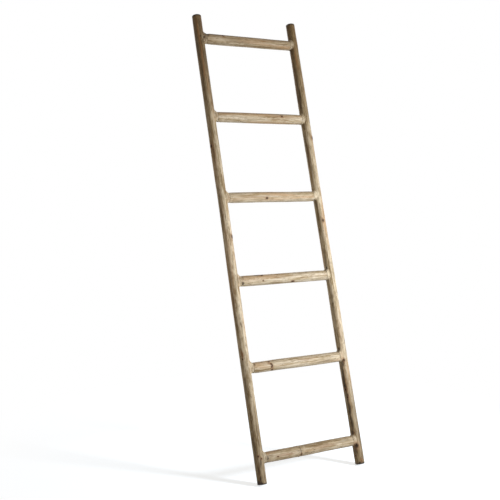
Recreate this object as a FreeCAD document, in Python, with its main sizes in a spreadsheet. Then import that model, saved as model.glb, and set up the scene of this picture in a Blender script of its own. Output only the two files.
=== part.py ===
import FreeCAD, Part
import os
import Sketcher

# Blanket ladder: two round poles and six round rungs of debarked, sanded wood.
# Every rung ends in a turned tenon that is pushed into a blind socket in the
# pole.  The socket's mouth is a boss carved out of the pole, which flares up
# the pole above the rung and runs straight below it.  A round wooden pin from
# the wall side locks each tenon and is cut off flush with the pole.
#
# Frame: the ladder leans as it is used.  X runs along the rungs, +Y points to
# the wall, +Z is up, the floor is z = 0, and the origin is on the floor below
# the middle of the poles.  All sizes are millimetres and degrees.

V = FreeCAD.Vector
doc = FreeCAD.newDocument("BlanketLadder")

# ---------------------------------------------------------------- driving sizes
sizes = doc.addObject("Spreadsheet::Sheet", "Sizes")
DRIVING = {
    "lean_angle": 17,               # between the poles and the wall
    "pole_length": 1800,
    "pole_spacing": 430,            # axis to axis
    "pole_diameter": 36,
    "foot_chamfer": 2.5,
    "top_chamfer": 3,
    "rung_count": 6,
    "rung_pitch": 323,
    "top_overhang": 95,             # pole above the axis of the top rung
    "rung_diameter": 40,
    "shoulder_chamfer": 1.2,
    "boss_face_diameter": 39.6,     # the seat of the rung's shoulder
    "boss_face_reach": 25,          # distance of that seat from the pole's axis
    "boss_neck_reach": 19,
    "boss_neck_rise": 27.5,         # how far the boss climbs above the rung's axis
    "boss_neck_drop": 21.6,         # and how far it runs below it
    "boss_neck_width": 37.3,
    "boss_root_rise": 41,
    "boss_root_drop": 25,
    "boss_root_width": 35,
    "tenon_diameter": 22,
    "tenon_length": 32,
    "tenon_chamfer": 1.5,
    "socket_clearance": 0.2,        # on the diameter
    "socket_depth": 33,
    "pin_diameter": 6,
    "pin_length": 25,
    "pin_seat": 17.8,               # pole axis to the pin's flush outer end
    "pin_clearance": 0.2,           # on the diameter of its hole
    "pin_hole_spare": 0.5,          # the hole is this much deeper than the pin
}
for row, (alias, value) in enumerate(DRIVING.items(), start=1):
    sizes.set(f"A{row}", alias)
    sizes.set(f"B{row}", str(value))
    sizes.setAlias(f"B{row}", alias)
doc.recompute()

RUNGS = DRIVING["rung_count"]
LEFT = -1
RIGHT = 1
SIDES = {"left": LEFT, "right": RIGHT}
TOUCH = 0.01                # two places closer than this are the same place
CUBIC_CENTIMETRE = 1000


# ------------------------------------------------------------- building helpers
def new_body(label):
    body = doc.addObject("PartDesign::Body", label)
    body.Label = label
    return body


def origin_feature(body, role):
    for feature in body.Origin.OriginFeatures:
        if feature.Role == role:
            return feature
    raise ValueError(role)


def new_sketch(body, name, plane, offset=None):
    """A sketch on one of the body's own origin planes, or parallel to it."""
    sketch = body.newObject("Sketcher::SketchObject", name)
    sketch.AttachmentSupport = [(origin_feature(body, plane), "")]
    sketch.MapMode = "FlatFace"
    if offset:
        sketch.setExpression("AttachmentOffset.Base.z", offset)
    return sketch


def bind(sketch, constraint, name, formula):
    """Add a dimension to a sketch and drive it from the sheet."""
    index = sketch.addConstraint(constraint)
    sketch.renameConstraint(index, name)
    sketch.setExpression(f"Constraints.{name}", formula)


# A sketch's own axes and the named points of a line, arc or circle.
X_AXIS = -1
Y_AXIS = -2
START = 1
END = 2
CENTRE = 3


def pin_point(sketch, geometry, end, name, across, up):
    """Hold one point of a sketch by its two distances from the sketch's origin."""
    for kind, axis, formula in (("DistanceX", Y_AXIS, across), ("DistanceY", X_AXIS, up)):
        if formula == "0":
            sketch.addConstraint(Sketcher.Constraint("PointOnObject", geometry, end, axis))
        else:
            guess = evaluate(formula)
            dimension = Sketcher.Constraint(kind, X_AXIS, START, geometry, end, guess)
            bind(sketch, dimension, f"{name}_{kind[-1].lower()}", formula)


def evaluate(formula):
    """The present value of a formula over the sheet, for a sketch's first guess."""
    return float(sizes.evalExpression(formula))


def outline(sketch, corners):
    """A closed outline of straight sides whose corners are driven by the sheet."""
    points = [V(evaluate(across), evaluate(up), 0) for across, up in corners]
    for here, there in zip(points, points[1:] + points[:1]):
        sketch.addGeometry(Part.LineSegment(here, there))
    for side in range(len(points)):
        following = (side + 1) % len(points)
        sketch.addConstraint(Sketcher.Constraint("Coincident", side, END, following, START))
    for side, (across, up) in enumerate(corners):
        pin_point(sketch, side, START, f"corner{side}", across, up)


def circle(sketch, name, across, up, diameter):
    radius = evaluate(diameter) / 2
    index = sketch.addGeometry(Part.Circle(V(evaluate(across), evaluate(up), 0), V(0, 0, 1), radius))
    bind(sketch, Sketcher.Constraint("Diameter", index, 2 * radius), f"{name}_diameter", diameter)
    pin_point(sketch, index, CENTRE, name, across, up)


def oval(sketch, centre_up, height, width):
    """An upright ellipse centred on the sketch's vertical axis."""
    middle = evaluate(centre_up)
    tall = evaluate(height) / 2
    wide = evaluate(width) / 2
    ellipse = Part.Ellipse(V(0, middle + tall, 0), V(-wide, middle, 0), V(0, middle, 0))
    index = sketch.addGeometry(ellipse)
    sketch.exposeInternalGeometry(index)
    pin_point(sketch, index, CENTRE, "centre", "0", centre_up)
    major = index + 1
    minor = index + 2
    sketch.addConstraint(Sketcher.Constraint("Vertical", major))
    bind(sketch, Sketcher.Constraint("Distance", major, 2 * tall), "height", height)
    bind(sketch, Sketcher.Constraint("Distance", minor, 2 * wide), "width", width)


def chamfer(body, name, size, wanted):
    """Chamfer the edges of the body's tip that `wanted` picks out."""
    tip = body.Tip
    names = [f"Edge{i}" for i, edge in enumerate(tip.Shape.Edges, start=1) if wanted(edge)]
    feature = body.newObject("PartDesign::Chamfer", name)
    feature.Base = (tip, names)
    feature.setExpression("Size", size)
    doc.recompute()


def repeat_up_the_pole(body, feature):
    """Copy a feature of the lowest joint to all the joints above it."""
    pattern = body.newObject("PartDesign::LinearPattern", feature.Name + "_row")
    pattern.Originals = [feature]
    pattern.Direction = (origin_feature(body, "Z_Axis"), [""])
    pattern.Mode = "Spacing"
    pattern.setExpression("Offset", "Sizes.rung_pitch")
    pattern.setExpression("Occurrences", "Sizes.rung_count")
    body.Tip = pattern
    doc.recompute()
    return pattern


def check_volume(body, before, grows):
    """A cut or a boss that points the wrong way changes nothing, so compare."""
    change = body.Shape.Volume - before
    if (change > 1) != grows or abs(change) < 1:
        raise RuntimeError(f"{body.Label}: volume changed by {change:.1f}")


def lean(body, across, along):
    """Set a sub-part on the leaning axis, `along` millimetres up from the foot."""
    body.Placement = FreeCAD.Placement(V(0, 0, 0), FreeCAD.Rotation(V(-1, 0, 0), 1))
    body.setExpression("Placement.Rotation.Angle", "Sizes.lean_angle")
    body.setExpression("Placement.Base.x", across)
    mid = "Sizes.pole_length / 2"
    body.setExpression("Placement.Base.y", f"({along} - {mid}) * sin(Sizes.lean_angle)")
    body.setExpression("Placement.Base.z", f"{FOOT_RISE} + ({along}) * cos(Sizes.lean_angle)")


# The pole is cut square, so the leaning foot stands on the rear of its
# chamfered edge, which lifts the middle of the foot this much off the floor.
FOOT_RISE = "(Sizes.pole_diameter / 2 - Sizes.foot_chamfer) * sin(Sizes.lean_angle)"
LOWEST_JOINT = "(Sizes.pole_length - Sizes.top_overhang - (Sizes.rung_count - 1) * Sizes.rung_pitch)"
PIN_HOLE = "Sizes.pin_diameter + Sizes.pin_clearance"
PIN_HOLE_DEPTH = "Sizes.pin_length + Sizes.pin_hole_spare"


def joint_height(number):
    """Formula for the height of rung `number` up the pole; rung 1 is the top one."""
    return f"(Sizes.pole_length - Sizes.top_overhang - {number - 1} * Sizes.rung_pitch)"


# ------------------------------------------------------------------------ poles
# One pole: a round shaft with chamfered ends, a boss on its inner side at each
# rung, a blind round socket in each boss and, from the wall side, a drilled
# hole for the pin that crosses the socket.
def make_pole(side_name):
    side = SIDES[side_name]
    inward = -side
    body = new_body(f"{side_name}_pole")

    section = new_sketch(body, f"{side_name}_shaft_section", "XY_Plane")
    circle(section, "shaft", "0", "0", "Sizes.pole_diameter")
    shaft = body.newObject("PartDesign::Pad", f"{side_name}_shaft")
    shaft.Profile = section
    shaft.setExpression("Length", "Sizes.pole_length")
    doc.recompute()

    def foot_rim(edge):
        return edge.BoundBox.ZMax < TOUCH and edge.BoundBox.XLength > TOUCH

    def top_rim(edge):
        return edge.BoundBox.ZMin > DRIVING["pole_length"] - TOUCH and edge.BoundBox.XLength > TOUCH

    chamfer(body, f"{side_name}_foot_edge", "Sizes.foot_chamfer", foot_rim)
    chamfer(body, f"{side_name}_top_edge", "Sizes.top_chamfer", top_rim)

    # The boss is lofted outward from the pole's axis through two ovals, a tall
    # root and a neck just clear of the pole, to its round face.
    rings = []
    for part, reach in (("root", "0"), ("neck", "Sizes.boss_neck_reach")):
        rise = f"Sizes.boss_{part}_rise"
        drop = f"Sizes.boss_{part}_drop"
        width = f"Sizes.boss_{part}_width"
        ring = new_sketch(body, f"{side_name}_boss_{part}", "YZ_Plane", f"{inward} * {reach}")
        oval(ring, f"{LOWEST_JOINT} + ({rise} - {drop}) / 2", f"{rise} + {drop}", width)
        rings.append(ring)
    seat = f"{inward} * Sizes.boss_face_reach"
    ring = new_sketch(body, f"{side_name}_boss_face", "YZ_Plane", seat)
    circle(ring, "face", "0", LOWEST_JOINT, "Sizes.boss_face_diameter")
    rings.append(ring)
    doc.recompute()
    before = body.Shape.Volume
    boss = body.newObject("PartDesign::AdditiveLoft", f"{side_name}_boss")
    boss.Profile = rings[0]
    boss.Sections = rings[1:]
    doc.recompute()
    repeat_up_the_pole(body, boss)
    check_volume(body, before, grows=True)

    mouth = new_sketch(body, f"{side_name}_socket_mouth", "YZ_Plane", seat)
    circle(mouth, "socket", "0", LOWEST_JOINT, "Sizes.tenon_diameter + Sizes.socket_clearance")
    before = body.Shape.Volume
    socket = body.newObject("PartDesign::Pocket", f"{side_name}_socket")
    socket.Profile = mouth
    socket.setExpression("Length", "Sizes.socket_depth")
    socket.Reversed = side == RIGHT
    doc.recompute()
    repeat_up_the_pole(body, socket)
    check_volume(body, before, grows=False)

    mark = new_sketch(body, f"{side_name}_pin_mark", "XZ_Plane", "-Sizes.pole_diameter / 2")
    circle(mark, "pin", "0", LOWEST_JOINT, PIN_HOLE)
    before = body.Shape.Volume
    hole = body.newObject("PartDesign::Pocket", f"{side_name}_pin_hole")
    hole.Profile = mark
    hole.setExpression("Length", PIN_HOLE_DEPTH)
    hole.Reversed = True
    doc.recompute()
    repeat_up_the_pole(body, hole)
    check_volume(body, before, grows=False)

    lean(body, f"{side} * Sizes.pole_spacing / 2", "0")
    return body


# ------------------------------------------------------------------------ rungs
# One rung, turned between centres: a straight round bar with a square shoulder
# at each end, its edge broken by a chamfer, and a chamfered tenon that is
# drilled across, not quite through, for its pin.
def make_rung(number):
    body = new_body(f"rung_{number}")
    shoulder = "(Sizes.pole_spacing / 2 - Sizes.boss_face_reach)"
    tip = f"({shoulder} + Sizes.tenon_length)"
    tenon = "Sizes.tenon_diameter / 2"
    bar = "Sizes.rung_diameter / 2"

    profile = new_sketch(body, f"rung_{number}_profile", "XZ_Plane")
    outline(profile, [
        (f"-{tip}", "0"),
        (f"-{tip}", tenon),
        (f"-{shoulder}", tenon),
        (f"-{shoulder}", bar),
        (shoulder, bar),
        (shoulder, tenon),
        (tip, tenon),
        (tip, "0"),
    ])
    turned = body.newObject("PartDesign::Revolution", f"rung_{number}_turned")
    turned.Profile = profile
    turned.ReferenceAxis = (profile, ["H_Axis"])
    turned.Angle = 360
    doc.recompute()

    def at_end(edge, reach, diameter):
        box = edge.BoundBox
        flat = box.XLength < TOUCH and abs(abs(box.XMin) - evaluate(reach)) < TOUCH
        return flat and abs(box.ZLength - evaluate(diameter)) < TOUCH

    def shoulder_rim(edge):
        return at_end(edge, shoulder, "Sizes.rung_diameter")

    def tenon_rim(edge):
        return at_end(edge, tip, "Sizes.tenon_diameter")

    chamfer(body, f"rung_{number}_shoulder", "Sizes.shoulder_chamfer", shoulder_rim)
    chamfer(body, f"rung_{number}_tenon_tip", "Sizes.tenon_chamfer", tenon_rim)

    # The drill comes from the wall side, as far past the pole's surface as in
    # the pole itself, so the sketch lies on the pole's outside.
    mark = new_sketch(body, f"rung_{number}_pin_marks", "XZ_Plane", "-Sizes.pole_diameter / 2")
    for side in (LEFT, RIGHT):
        circle(mark, f"hole{side + 1}", f"{side} * Sizes.pole_spacing / 2", "0", PIN_HOLE)
    before = body.Shape.Volume
    holes = body.newObject("PartDesign::Pocket", f"rung_{number}_pin_holes")
    holes.Profile = mark
    holes.setExpression("Length", PIN_HOLE_DEPTH)
    holes.Reversed = True
    doc.recompute()
    check_volume(body, before, grows=False)

    lean(body, "0", joint_height(number))
    return body


# ------------------------------------------------------------------------- pins
# One round wooden pin, driven square to the pole from the wall side through
# the pole's wall and into the tenon, and cut off at the pole's surface.
def make_pin(side_name, number):
    body = new_body(f"pin_{side_name}_{number}")
    section = new_sketch(body, f"{body.Label}_section", "XZ_Plane", "-Sizes.pin_seat")
    circle(section, "pin", "0", "0", "Sizes.pin_diameter")
    rod = body.newObject("PartDesign::Pad", f"{body.Label}_rod")
    rod.Profile = section
    rod.setExpression("Length", "Sizes.pin_length")
    doc.recompute()
    lean(body, f"{SIDES[side_name]} * Sizes.pole_spacing / 2", joint_height(number))
    return body


# --------------------------------------------------------------------- assembly
sub_parts = [make_pole("left"), make_pole("right")]
for number in range(1, RUNGS + 1):
    sub_parts.append(make_rung(number))
for side_name in SIDES:
    for number in range(1, RUNGS + 1):
        sub_parts.append(make_pin(side_name, number))
doc.recompute()

for thing in doc.Objects:
    if "Invalid" in thing.State or "Error" in thing.State:
        raise RuntimeError(f"{thing.Label}: {thing.State}")
for body in sub_parts:
    if body.Shape.isNull() or not body.Shape.isValid() or len(body.Shape.Solids) != 1:
        raise RuntimeError(f"{body.Label}: bad shape")

os.makedirs("parts", exist_ok=True)
for body in sub_parts:
    body.Shape.exportStep(f"parts/{body.Label}.step")
    print(f"{body.Label}: {body.Shape.Volume / CUBIC_CENTIMETRE:.1f} cm3")
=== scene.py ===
"""Blanket ladder that leans on a wall: two natural wooden poles, six round rungs and twelve wooden pins."""

import math

import bmesh
import bpy
import numpy as np
from mathutils import Matrix, Vector


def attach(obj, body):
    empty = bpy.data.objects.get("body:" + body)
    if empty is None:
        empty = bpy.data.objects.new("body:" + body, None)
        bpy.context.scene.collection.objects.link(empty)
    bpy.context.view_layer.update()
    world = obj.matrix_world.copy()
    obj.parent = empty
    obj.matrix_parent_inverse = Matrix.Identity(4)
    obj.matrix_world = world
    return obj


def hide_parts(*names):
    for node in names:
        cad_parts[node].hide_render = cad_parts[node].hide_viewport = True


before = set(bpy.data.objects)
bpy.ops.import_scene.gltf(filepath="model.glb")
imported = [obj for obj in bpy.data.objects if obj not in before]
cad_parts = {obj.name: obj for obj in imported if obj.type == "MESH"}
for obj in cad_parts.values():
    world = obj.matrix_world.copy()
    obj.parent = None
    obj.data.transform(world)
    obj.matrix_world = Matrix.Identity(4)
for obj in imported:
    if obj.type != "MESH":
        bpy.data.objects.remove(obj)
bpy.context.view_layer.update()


# ---------------------------------------------------------------------------------------------------------
# The two poles. Each is a young tree stem, peeled, dried and sanded, 1.8 m long and cut square at both
# ends. On its inner side six bosses are left standing when the rest is cut back, each with a flat face
# and a blind socket for a rung. A small hole for a pin comes from the wall side into each socket.
# ---------------------------------------------------------------------------------------------------------

LEAN = math.radians(17)
POLE_LENGTH = 1.8
POLE_RADIUS = 0.018
POLE_FROM_MIDDLE = 0.215
JOINTS = [1.705 - 0.323 * place for place in range(6)]

# how far the sawn edges are worn round, and how high that leaves the middle of a foot above the floor
SAWN_EDGE = {"foot": 0.0025, "top": 0.003}
FOOT_RISE = (POLE_RADIUS - SAWN_EDGE["foot"]) * math.sin(LEAN)
FOOT_PLACE = Vector((0, -POLE_LENGTH / 2 * math.sin(LEAN), FOOT_RISE))

# holes, as distances from the pole's axis: sockets from the inner side, pin holes from the wall side
SOCKET_RADIUS = 0.0111
SOCKET_MOUTH = 0.027
SOCKET_END = 0.008
PIN_HOLE_RADIUS = 0.0031
PIN_HOLE_MOUTH = 0.024
PIN_HOLE_END = -0.0075

# points round a pole, the rings of points up it, close at a boss and closest at an edge, and across an end
POINTS_ROUND = 96
WIDE_STEP = 0.003
FINE_STEP = 0.00125
BOSS_MIDDLE = 0.006
BOSS_HALF_LENGTH = 0.042
EDGE_RINGS = [0.0, 0.0003, 0.0007, 0.0012, 0.0018, 0.0026, 0.0036, 0.005]
CAP_SHARES = [0.12, 0.3, 0.5, 0.7, 0.85, 0.94]

# how far a boss spreads above, below and beside the rung's axis, at three distances from the pole's axis.
# The last is its flat face, with a rounded corner. Outside its zone there is only pole.
BOSS_REACH = [0, 0.019, 0.025]
BOSS_FACE = 0.0195
BOSS_ABOVE = np.polyfit(BOSS_REACH, [0.038, 0.0255, BOSS_FACE], 2)
BOSS_BELOW = np.polyfit(BOSS_REACH, [0.0205, 0.0197, 0.0194], 2)
BOSS_BESIDE = np.polyfit(BOSS_REACH, [0.0148, 0.0181, BOSS_FACE], 2)
BOSS_CORNER = 0.0014
BOSS_ZONE = 0.07

# how much each boss flares above its face, from the top joint down, and the hollow where it meets the pole
BOSS_FLARE = {"left": [0.70, 1.0, 1.0, 1.0, 1.05, 0.80], "right": [0.70, 0.70, 0.75, 0.65, 0.80, 0.65]}
HOLLOW_ABOVE = 0.0062
HOLLOW_BELOW = 0.0024

# radius at heights up each pole, as the stem grew
GIRTH = {
    "left": ([0, 0.3, 0.7, 1.1, 1.5, 1.8], [0.0176, 0.0178, 0.0180, 0.0179, 0.0181, 0.0180]),
    "right": ([0, 0.05, 0.24, 0.45, 0.68, 0.88, 1.15, 1.45, 1.8],
              [0.0178, 0.0183, 0.0178, 0.0181, 0.0185, 0.0176, 0.0181, 0.0188, 0.0180]),
}

# how far the stem wanders from its axis, its waves, by how many go round it and how deep they are, and the
# depth of the knife cuts on the bosses
WANDER = 0.0010
WAVES = ((2, 0.00032), (3, 0.00022), (5, 0.00013), (8, 0.00008), (13, 0.00005))
KNIFE_CUTS = 0.00022
SEEDS = {"left": 11, "right": 47}

# soft patches: height up the pole, half length, angle round it, half width in radians. The right pole
# swells where its top boss was left, and the left one is paler in front, between rungs 3 and 5.
SWELLING = (1.71, 0.028, 0.15, 0.9)
SWELLING_HEIGHT = 0.0016
POLE_PALE_FRONT = (0.70, 0.26, math.radians(268), 0.6)
POLE_PALE_FRONT_SHARE = 1.7

# a chip off the rim of the left foot
CHIP_ANGLE = math.radians(213)
CHIP_HALF_WIDTH = 0.28
CHIP_HEIGHT = 0.0055
CHIP_DEPTH = 0.0034

# knots: height up the pole, angle round it, half length, half width, how far it stands up
KNOTS = {
    "left": [
        (0.0995, 242, 0.0045, 0.0032, 0.0007), (0.0904, 277, 0.0035, 0.0028, 0.0006),
        (0.448, 220, 0.0034, 0.0026, 0.0006), (0.905, 305, 0.0080, 0.0050, 0.0014),
        (1.262, 196, 0.0070, 0.0045, 0.0010), (1.560, 75, 0.0090, 0.0055, 0.0016),
        (0.612, 120, 0.0075, 0.0050, 0.0012), (0.250, 60, 0.0060, 0.0042, 0.0010),
        (1.130, 95, 0.0060, 0.0040, 0.0010),
    ],
    "right": [
        (0.0706, 231, 0.0100, 0.0072, 0.0014), (0.1202, 225, 0.0050, 0.0016, 0.0003),
        (0.284, 206, 0.0050, 0.0035, 0.0008), (0.254, 215, 0.0040, 0.0030, 0.0006),
        (0.955, 262, 0.0065, 0.0045, 0.0010), (1.300, 300, 0.0080, 0.0052, 0.0014),
        (0.560, 100, 0.0085, 0.0055, 0.0015), (1.180, 70, 0.0070, 0.0048, 0.0012),
        (1.600, 110, 0.0060, 0.0042, 0.0010), (0.0329, 197, 0.0035, 0.0028, 0.0005),
        (0.3968, 243, 0.0058, 0.0040, 0.0008),
    ],
}

# drying checks: lowest and highest place, angle at both, half width of the gap at its widest
CHECKS = {
    "left": [
        (-0.006, 0.024, 236, 234, 0.0007), (1.742, 1.806, 256, 262, 0.0006),
        (1.610, 1.700, 205, 199, 0.0004), (-0.006, 0.008, 330, 327, 0.0005),
        (-0.006, 0.006, 100, 103, 0.0004), (1.790, 1.808, 15, 19, 0.0005),
        (1.794, 1.808, 140, 136, 0.0005), (1.795, 1.808, 200, 203, 0.0004),
        (0.520, 0.640, 262, 255, 0.0004), (1.180, 1.262, 288, 282, 0.0004),
        (0.300, 0.420, 80, 90, 0.0005), (1.000, 1.180, 120, 131, 0.0005), (1.480, 1.620, 42, 52, 0.0005),
    ],
    "right": [
        (0.0125, 0.034, 267, 271, 0.0006), (-0.006, 0.0145, 240, 267, 0.0008),
        (-0.006, 0.0145, 284, 267, 0.0008), (-0.006, 0.007, 20, 23, 0.0005),
        (-0.006, 0.009, 110, 106, 0.0004), (1.791, 1.808, 340, 335, 0.0005),
        (1.793, 1.808, 95, 99, 0.0005), (1.795, 1.808, 170, 172, 0.0004),
        (0.118, 0.150, 223, 229, 0.0005), (1.700, 1.806, 238, 231, 0.0007),
        (0.780, 0.880, 246, 252, 0.0004), (0.380, 0.520, 292, 286, 0.0004),
        (0.620, 0.790, 70, 58, 0.0005), (1.250, 1.430, 110, 100, 0.0005),
    ],
}

# millimetres from a check within which its width counts, and what points far from checks or knots are given
CHECK_REACH = 5
NO_CHECK = 60.0
NO_KNOT = 9.0

# stains, and painted shade on the right pole: height up the pole, angle round it, half length, half width,
# and how dark, or how warm below zero
STAINS_AND_SHADE = {
    "left": [
        (1.7178, 325, 0.0065, 0.0034, 1.0), (1.704, 300, 0.0044, 0.0034, 1.0),
        (1.690, 283, 0.010, 0.0028, 1.0), (1.7065, 255, 0.0050, 0.0034, 1.0),
        (1.5396, 307, 0.010, 0.0032, 0.9), (1.740, 292, 0.070, 0.0130, 0.45),
        (1.615, 302, 0.060, 0.0110, 0.45), (1.450, 306, 0.060, 0.0090, 0.30),
        (1.722, 238, 0.052, 0.0042, -0.6), (1.634, 246, 0.045, 0.0036, -0.6),
        (1.565, 240, 0.034, 0.0030, -0.6), (1.505, 262, 0.040, 0.0030, -0.5),
        (1.612, 284, 0.013, 0.0040, 0.5), (1.528, 298, 0.014, 0.0030, 0.8),
        (1.240, 214, 0.050, 0.0040, 0.5), (1.020, 206, 0.070, 0.0036, 0.5),
        (0.640, 203, 0.080, 0.0034, 0.5), (0.466, 218, 0.016, 0.0050, -0.9),
        (0.330, 205, 0.060, 0.0034, 0.5), (0.140, 210, 0.030, 0.0040, 0.4),
        (0.004, 198, 0.0130, 0.0140, 1.0), (0.003, 230, 0.0075, 0.0080, 1.0),
        (0.022, 234, 0.009, 0.0036, 1.0), (0.050, 222, 0.018, 0.0030, 0.8),
        (0.070, 250, 0.012, 0.0026, 0.7), (0.080, 262, 0.010, 0.0050, 0.5),
        (0.780, 75, 0.060, 0.0050, 0.5), (1.340, 100, 0.070, 0.0050, -0.6),
    ],
    # dark stains just above rungs 4, 5 and 6 and just below rungs 3 and 5 are painted shade where pole
    # meets rung
    "right": [
        (0.150, 302, 0.170, 0.0110, 0.45), (0.292, 206, 0.022, 0.0068, 1.0),
        (0.256, 212, 0.016, 0.0056, 1.0), (0.212, 216, 0.026, 0.0056, 0.9),
        (0.762, 203, 0.010, 0.0048, 0.8), (0.440, 203, 0.010, 0.0048, 0.8),
        (0.385, 222, 0.014, 0.0060, 0.8), (0.118, 205, 0.010, 0.0048, 0.9),
        (0.056, 208, 0.018, 0.0048, 0.6), (0.160, 221, 0.024, 0.0052, 0.8),
        (0.320, 200, 0.055, 0.0060, 0.8), (0.120, 246, 0.014, 0.0030, 0.5),
        (0.003, 282, 0.0055, 0.0050, 1.0), (0.005, 240, 0.0060, 0.0046, 1.0),
        (0.014, 262, 0.012, 0.0060, -0.8), (1.026, 205, 0.022, 0.0040, 0.7),
        (0.760, 206, 0.060, 0.0040, 0.5), (1.240, 200, 0.080, 0.0050, 0.6),
        (1.500, 215, 0.090, 0.0050, 0.5), (1.640, 250, 0.050, 0.0036, -0.6),
        (0.600, 212, 0.050, 0.0034, 0.4), (0.900, 80, 0.060, 0.0050, -0.6),
        (0.350, 100, 0.070, 0.0050, 0.4), (1.450, 60, 0.050, 0.0050, 0.5),
    ],
}

# how brown the wood has gone at heights up the pole: handled and dusty at both ends, palest in the middle,
# and towards the top partly painted shade, where the light falls off; on the right pole a little browner
# all over
BROWNING_AND_SHADE = ([0, 0.05, 0.2, 0.42, 0.6, 0.95, 1.15, 1.36, 1.45, 1.6, 1.8],
            [0.74, 0.64, 0.42, 0.08, -0.10, -0.10, 0.08, 0.36, 0.62, 0.80, 0.97])
BROWNER = {"left": 0.0, "right": 0.06}

# where in the wood's figure each pole starts, so that no two pieces are alike, with the pith off the axis
FIGURE = {"left": (0.0023, 0.0011, 2.0), "right": (0.0023, 0.0011, 5.0)}

# dirt in the sawn ends, and painted shade round the top's worn rim: how far it reaches up the foot's
# side and down the top's, and where it is thinner
FOOT_DIRT = 0.0048
TOP_DIRT_AND_SHADE = 0.0042
CLEANER_MIDDLE = 0.011
END_FACE = 0.0006


def drift(seed, places, spacing):
    """Smooth random values from -1 to 1 at places between -0.5 and 2.5, with a new one every spacing."""
    marks = np.random.default_rng(seed).uniform(-1, 1, int(3 / spacing) + 3)
    at = (places + 0.5) / spacing
    low = np.floor(at).astype(int)
    part = at - low
    part = part * part * (3 - 2 * part)
    return marks[low] * (1 - part) + marks[low + 1] * part


def soft_max(first, second, blend):
    """The larger of two values, with the corner where they meet filled over that width."""
    near = np.maximum(blend - np.abs(first - second), 0) / blend
    return np.maximum(first, second) + near * near * blend / 4


def angle_apart(first, second):
    """Signed difference between two angles in radians."""
    return (first - second + math.pi) % (2 * math.pi) - math.pi


def soft_patch(along, around, place, half_length, angle, half_width):
    """1 in the middle of a patch, fading with distance along the wood in metres and round it in radians."""
    return np.exp(-((along - place) / half_length) ** 2 - (angle_apart(around, angle) / half_width) ** 2)


def boss_surface(around, above, flare):
    """How far a boss reaches from the pole's axis, at an angle from the rung and a height above it."""
    low = np.zeros_like(around)
    high = np.full_like(around, 0.05)
    # the surface lies between low and high, which close in on it by halves
    for halving in range(22):
        middle = (low + high) / 2
        out = middle * np.cos(around)
        beside = middle * np.sin(around) / np.maximum(np.polyval(BOSS_BESIDE, out), 0.002)
        upwards = BOSS_FACE + flare * (np.polyval(BOSS_ABOVE, out) - BOSS_FACE)
        reach = np.where(above > 0, upwards, np.polyval(BOSS_BELOW, out))
        inside = beside ** 2 + (above / np.maximum(reach, 0.002)) ** 2 < 1
        low = np.where(inside, middle, low)
        high = np.where(inside, high, middle)
    face = BOSS_REACH[-1] / np.maximum(np.cos(around), 0.05)
    # there is no boss on the pole's outer side
    return np.where(np.abs(around) < 1.45, -soft_max(-low, -face, BOSS_CORNER), 0)


def knot_distance(knots, along, around, radius):
    """Distance to the nearest knot in knot sizes, and how far the knots lift the surface."""
    nearest = np.full_like(along, NO_KNOT)
    lift = np.zeros_like(along)
    for place, angle, length, width, height in knots:
        side = angle_apart(around, math.radians(angle)) * radius
        reach = np.sqrt(((along - place) / length) ** 2 + (side / width) ** 2)
        nearest = np.minimum(nearest, reach)
        # a raised lip round a slightly sunken heart
        lift += height * (np.exp(-((reach - 0.9) / 0.75) ** 2) - 0.35 * np.exp(-(reach / 0.5) ** 2))
    return nearest, lift


def write_on(piece, name, values):
    """Gives every point of a piece a number or a vector that its material reads."""
    kind = "FLOAT_VECTOR" if values.ndim == 2 else "FLOAT"
    layer = piece.data.attributes.new(name, kind, "POINT")
    layer.data.foreach_set("vector" if values.ndim == 2 else "value", values.astype(np.float32).ravel())


def write_stains_and_shade(piece, stains_and_shade, along, around, radius):
    """Old stains, and painted shade, with soft edges, for the material: how dark and how warm they make
    each point.
    """
    dark = np.zeros_like(along)
    warm = np.zeros_like(along)
    for place, angle, length, width, strength in stains_and_shade:
        side = angle_apart(around, math.radians(angle)) * radius + 0.0012 * np.sin(along * 70 + angle)
        cover = abs(strength) * np.exp(-(((along - place) / length) ** 2 + (side / width) ** 2) ** 2.2)
        dark = np.maximum(dark, cover * (strength > 0))
        warm = np.maximum(warm, cover * (strength < 0))
    write_on(piece, "stain", dark)
    write_on(piece, "warm_stain", warm)


def write_checks(piece, checks, along, around, radius):
    """Drying checks, for the material: millimetres to the nearest one, with a sign, and its half width."""
    gap = np.full_like(along, NO_CHECK)
    half_width = np.zeros_like(along)
    for number, (start, end, angle_start, angle_end, width) in enumerate(checks):
        part = np.clip((along - start) / (end - start), 0, 1)
        sway = 0.0008 * np.sin(part * 9 + number * 1.7) + 0.0003 * np.sin(part * 27 + number)
        line = np.radians(angle_start + (angle_end - angle_start) * part)
        side = (angle_apart(around, line) * radius + sway) * 1000 * (-1) ** number
        inside = (along > start) & (along < end) & (np.abs(side) < np.abs(gap))
        gap = np.where(inside, side, gap)
        near = inside & (np.abs(side) < CHECK_REACH)
        opening = 1000 * width * np.sqrt(4 * part * (1 - part))
        half_width = np.where(near, opening, np.where(inside, 0, half_width))
    write_on(piece, "gap", gap)
    write_on(piece, "gap_width", half_width)


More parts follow.
